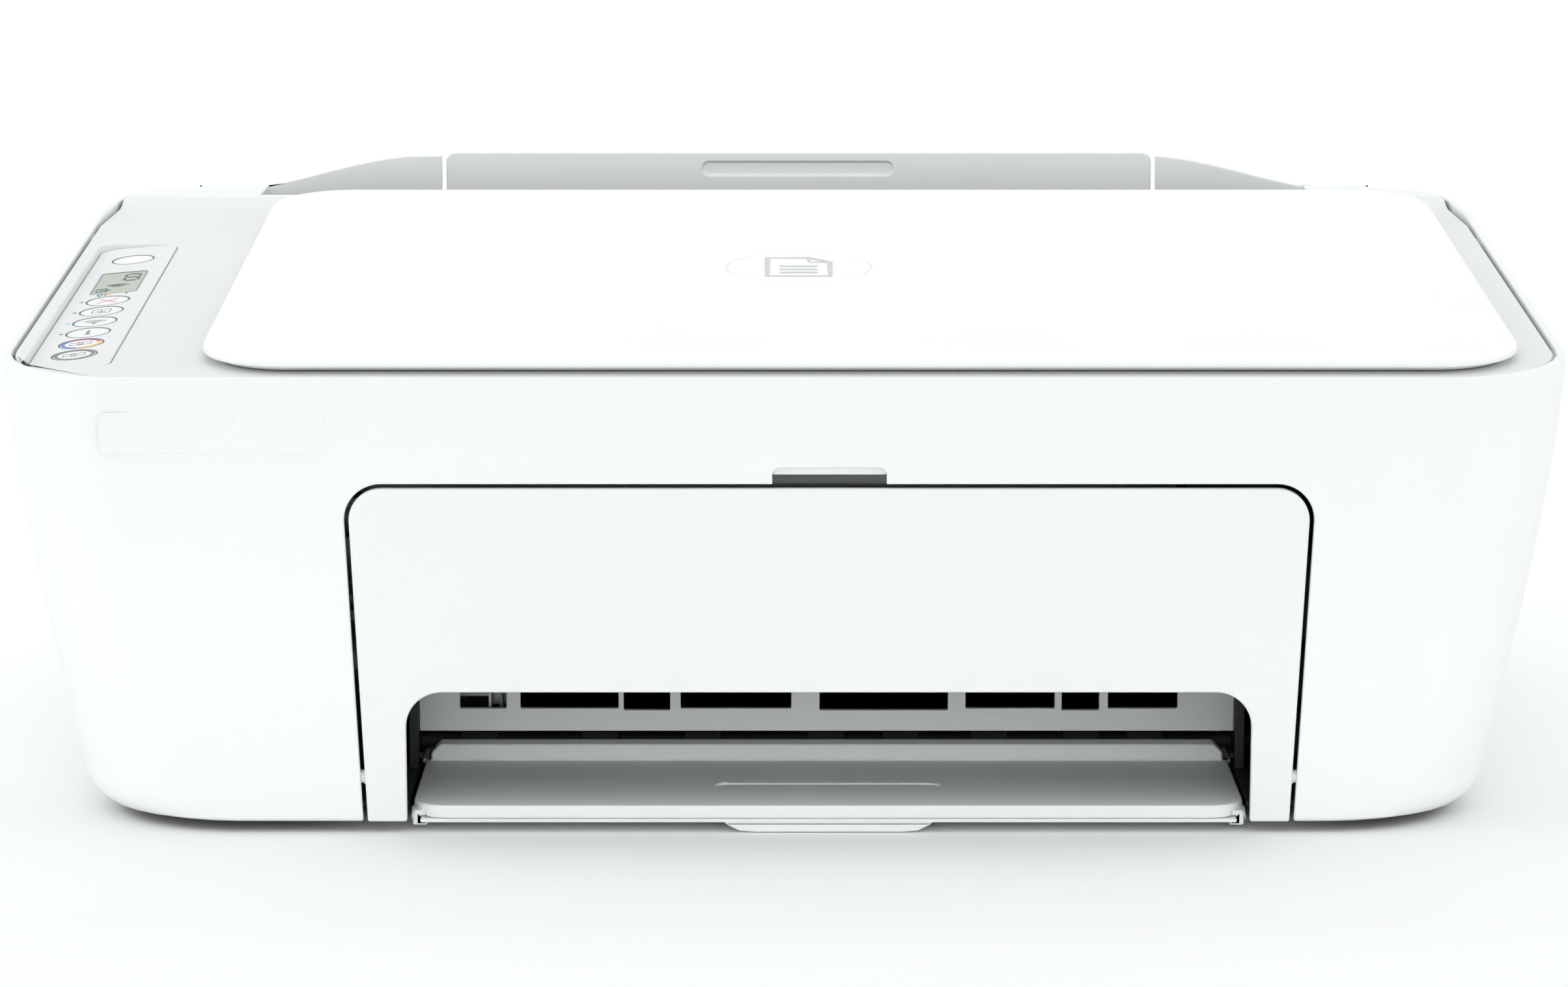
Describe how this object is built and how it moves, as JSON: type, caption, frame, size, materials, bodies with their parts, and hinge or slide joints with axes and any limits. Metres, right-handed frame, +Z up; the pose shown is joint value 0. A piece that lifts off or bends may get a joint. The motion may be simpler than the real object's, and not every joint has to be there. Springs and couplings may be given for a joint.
{
  "type": "inkjet printer",
  "caption": "Compact all-in-one inkjet printer with a flatbed scanner lid, folding rear input tray, front ink door and sliding output tray.",
  "frame": {"origin": "on the floor under the centre of the body", "axes": "+X to the right as seen by the user, +Y to the back, +Z up"},
  "size_m": [0.424, 0.3039, 0.154],
  "materials": {
    "white_shell": "fine moulded grain, satin",
    "door_white": "fine moulded grain",
    "deck_grey": "fine moulded grain",
    "lid_underside": "smooth",
    "button_white": "satin",
    "tray_grey": "moulded grain",
    "dark_plastic": "moulded",
    "mid_grey_plastic": "moulded",
    "foot_rubber": "matt",
    "roller_rubber": "matt",
    "steel": "satin",
    "brass": "turned",
    "gear_white": "smooth",
    "circuit_green": "solder mask",
    "clear_glass": "clear",
    "lcd": "grey-green display"
  },
  "bodies": {
    "base": {"housing": "white_shell", "base_tray": "dark_plastic", "rubber_feet": "foot_rubber", "case_screws": "steel", "rear_cover": "white_shell", "scanner_deck": "deck_grey", "scanner_glass": "clear_glass", "scanner_pan": "dark_plastic", "scan_rail": "steel", "lid_hinge_pins": "steel", "panel_plate": "deck_grey", "lcd_module": "lcd", "panel_board": "circuit_green", "exit_cover": "tray_grey", "star_wheel_bar": "mid_grey_plastic", "platen": "dark_plastic", "feed_motor": "steel", "paper_ramp": "dark_plastic", "carriage_rod": "steel", "carriage_rail": "steel", "carriage_motor": "steel", "carriage_belt": "foot_rubber", "service_station": "dark_plastic", "main_board": "circuit_green", "power_supply": "dark_plastic"},
    "lid": {"lid_cover": "white_shell", "lid_base": "lid_underside", "lid_pad": "lid_underside"},
    "door": {"front_door": "door_white"},
    "tray": {"output_tray": "tray_grey"},
    "extender": {"tray_extender": "tray_grey"},
    "input": {"input_tray": "white_shell"},
    "input_upper": {"input_extension": "white_shell"},
    "guide": {"width_guide": "mid_grey_plastic"},
    "carriage_body": {"carriage": "dark_plastic", "black_cartridge": "dark_plastic", "colour_cartridge": "dark_plastic"},
    "latch_black": {"black_latch": "mid_grey_plastic"},
    "latch_colour": {"colour_latch": "mid_grey_plastic"},
    "pulley_drive": {"drive_pulley": "brass"},
    "pulley_idle": {"idler_pulley": "gear_white"},
    "feed_shaft": {"feed_roller": "roller_rubber", "feed_gear": "gear_white"},
    "output_shaft": {"output_roller": "roller_rubber", "output_gear": "gear_white"},
    "idler_1": {"idler_gear_1": "gear_white"},
    "idler_2": {"idler_gear_2": "gear_white"},
    "idler_3": {"idler_gear_3": "gear_white"},
    "pinion": {"motor_pinion": "brass"},
    "pinch_shaft": {"pinch_rollers": "dark_plastic"},
    "star_shaft": {"star_wheels": "steel"},
    "pickup_shaft": {"pickup_roller": "roller_rubber"},
    "scan_head": {"scan_bar": "dark_plastic"},
    "key_power": {"power_button": "button_white"},
    "key_cancel": {"cancel_button": "button_white"},
    "key_resume": {"resume_button": "button_white"},
    "key_wireless": {"wireless_button": "button_white"},
    "key_info": {"info_button": "button_white"},
    "key_colour_copy": {"colour_copy_button": "button_white"},
    "key_black_copy": {"black_copy_button": "button_white"}
  },
  "joints": [
    {"name": "lid_hinge", "type": "hinge", "parent": "base", "child": "lid", "pos_m": [0, 0.101, 0.1438], "axis": [-1, 0, 0], "range_deg": [0, 80]},
    {"name": "door_hinge", "type": "hinge", "parent": "base", "child": "door", "pos_m": [0, -0.1452, 0.015], "axis": [1, 0, 0], "range_deg": [0, 90]},
    {"name": "tray_slide", "type": "slide", "parent": "base", "child": "tray", "axis": [0, -1, 0], "range_m": [0, 0.058]},
    {"name": "extender_slide", "type": "slide", "parent": "tray", "child": "extender", "axis": [0, -1, 0], "range_m": [0, 0.104]},
    {"name": "input_tray_hinge", "type": "hinge", "parent": "base", "child": "input", "pos_m": [0, 0.1492, 0.072], "axis": [-1, 0, 0], "range_deg": [0, 22]},
    {"name": "input_extension_slide", "type": "slide", "parent": "input", "child": "input_upper", "axis": [0, 0, 1], "range_m": [0, 0.062]},
    {"name": "width_guide_slide", "type": "slide", "parent": "base", "child": "guide", "axis": [-1, 0, 0], "range_m": [0, 0.09]},
    {"name": "carriage_slide", "type": "slide", "parent": "base", "child": "carriage_body", "axis": [-1, 0, 0], "range_m": [0, 0.268]},
    {"name": "black_latch_hinge", "type": "hinge", "parent": "carriage_body", "child": "latch_black", "pos_m": [0.16675, -0.055, 0.086], "axis": [-1, 0, 0], "range_deg": [0, 38]},
    {"name": "colour_latch_hinge", "type": "hinge", "parent": "carriage_body", "child": "latch_colour", "pos_m": [0.12925, -0.055, 0.086], "axis": [-1, 0, 0], "range_deg": [0, 38]},
    {"name": "drive_pulley_spin", "type": "hinge", "parent": "base", "child": "pulley_drive", "pos_m": [-0.176, -0.0265, 0.066], "axis": [0, 1, 0], "range_deg": [0, 2700]},
    {"name": "idler_pulley_spin", "type": "hinge", "parent": "base", "child": "pulley_idle", "pos_m": [0.176, -0.0265, 0.066], "axis": [0, 1, 0], "range_deg": [0, 2700]},
    {"name": "feed_roller_spin", "type": "hinge", "parent": "base", "child": "feed_shaft", "pos_m": [0, -0.025, 0.0125], "axis": [1, 0, 0], "continuous": true},
    {"name": "output_roller_spin", "type": "hinge", "parent": "base", "child": "output_shaft", "pos_m": [0, -0.072, 0.0089], "axis": [1, 0, 0], "continuous": true},
    {"name": "idler_1_spin", "type": "hinge", "parent": "base", "child": "idler_1", "pos_m": [0, -0.03816, 0.01149], "axis": [1, 0, 0], "continuous": true},
    {"name": "idler_2_spin", "type": "hinge", "parent": "base", "child": "idler_2", "pos_m": [0, -0.05016, 0.01142], "axis": [1, 0, 0], "continuous": true},
    {"name": "idler_3_spin", "type": "hinge", "parent": "base", "child": "idler_3", "pos_m": [0, -0.06163, 0.00969], "axis": [1, 0, 0], "continuous": true},
    {"name": "pinion_spin", "type": "hinge", "parent": "base", "child": "pinion", "pos_m": [0, -0.01974, 0.02239], "axis": [1, 0, 0], "continuous": true},
    {"name": "pinch_roller_spin", "type": "hinge", "parent": "base", "child": "pinch_shaft", "pos_m": [0, -0.025, 0.0223], "axis": [1, 0, 0], "continuous": true},
    {"name": "star_wheel_spin", "type": "hinge", "parent": "base", "child": "star_shaft", "pos_m": [0, -0.072, 0.0176], "axis": [1, 0, 0], "continuous": true},
    {"name": "pickup_roller_spin", "type": "hinge", "parent": "base", "child": "pickup_shaft", "pos_m": [0, 0.012, 0.0395], "axis": [1, 0, 0], "continuous": true},
    {"name": "scan_slide", "type": "slide", "parent": "base", "child": "scan_head", "axis": [1, 0, 0], "range_m": [0, 0.263]},
    {"name": "power_press", "type": "slide", "parent": "base", "child": "key_power", "axis": [0.0872, 0.0782, -0.9931], "range_m": [0, 0.0006], "stiffness_N_per_m": 1500},
    {"name": "cancel_press", "type": "slide", "parent": "base", "child": "key_cancel", "axis": [0.0872, 0.0782, -0.9931], "range_m": [0, 0.0006], "stiffness_N_per_m": 1500},
    {"name": "resume_press", "type": "slide", "parent": "base", "child": "key_resume", "axis": [0.0872, 0.0782, -0.9931], "range_m": [0, 0.0006], "stiffness_N_per_m": 1500},
    {"name": "wireless_press", "type": "slide", "parent": "base", "child": "key_wireless", "axis": [0.0872, 0.0782, -0.9931], "range_m": [0, 0.0006], "stiffness_N_per_m": 1500},
    {"name": "info_press", "type": "slide", "parent": "base", "child": "key_info", "axis": [0.0872, 0.0782, -0.9931], "range_m": [0, 0.0006], "stiffness_N_per_m": 1500},
    {"name": "colour_copy_press", "type": "slide", "parent": "base", "child": "key_colour_copy", "axis": [0.0872, 0.0782, -0.9931], "range_m": [0, 0.0006], "stiffness_N_per_m": 1500},
    {"name": "black_copy_press", "type": "slide", "parent": "base", "child": "key_black_copy", "axis": [0.0872, 0.0782, -0.9931], "range_m": [0, 0.0006], "stiffness_N_per_m": 1500}
  ],
  "couplings": [
    {"joint": "drive_pulley_spin", "follows": "carriage_slide", "rad_per_m": 172.4},
    {"joint": "idler_pulley_spin", "follows": "carriage_slide", "rad_per_m": 172.4},
    {"joint": "idler_1_spin", "follows": "feed_roller_spin", "ratio": -1.2},
    {"joint": "idler_2_spin", "follows": "feed_roller_spin", "ratio": 1.2},
    {"joint": "idler_3_spin", "follows": "feed_roller_spin", "ratio": -1.2857},
    {"joint": "output_roller_spin", "follows": "feed_roller_spin", "ratio": 1.5},
    {"joint": "pinion_spin", "follows": "feed_roller_spin", "ratio": -1.8},
    {"joint": "pinch_roller_spin", "follows": "feed_roller_spin", "ratio": -2.1667},
    {"joint": "star_wheel_spin", "follows": "feed_roller_spin", "ratio": -1.65}
  ]
}
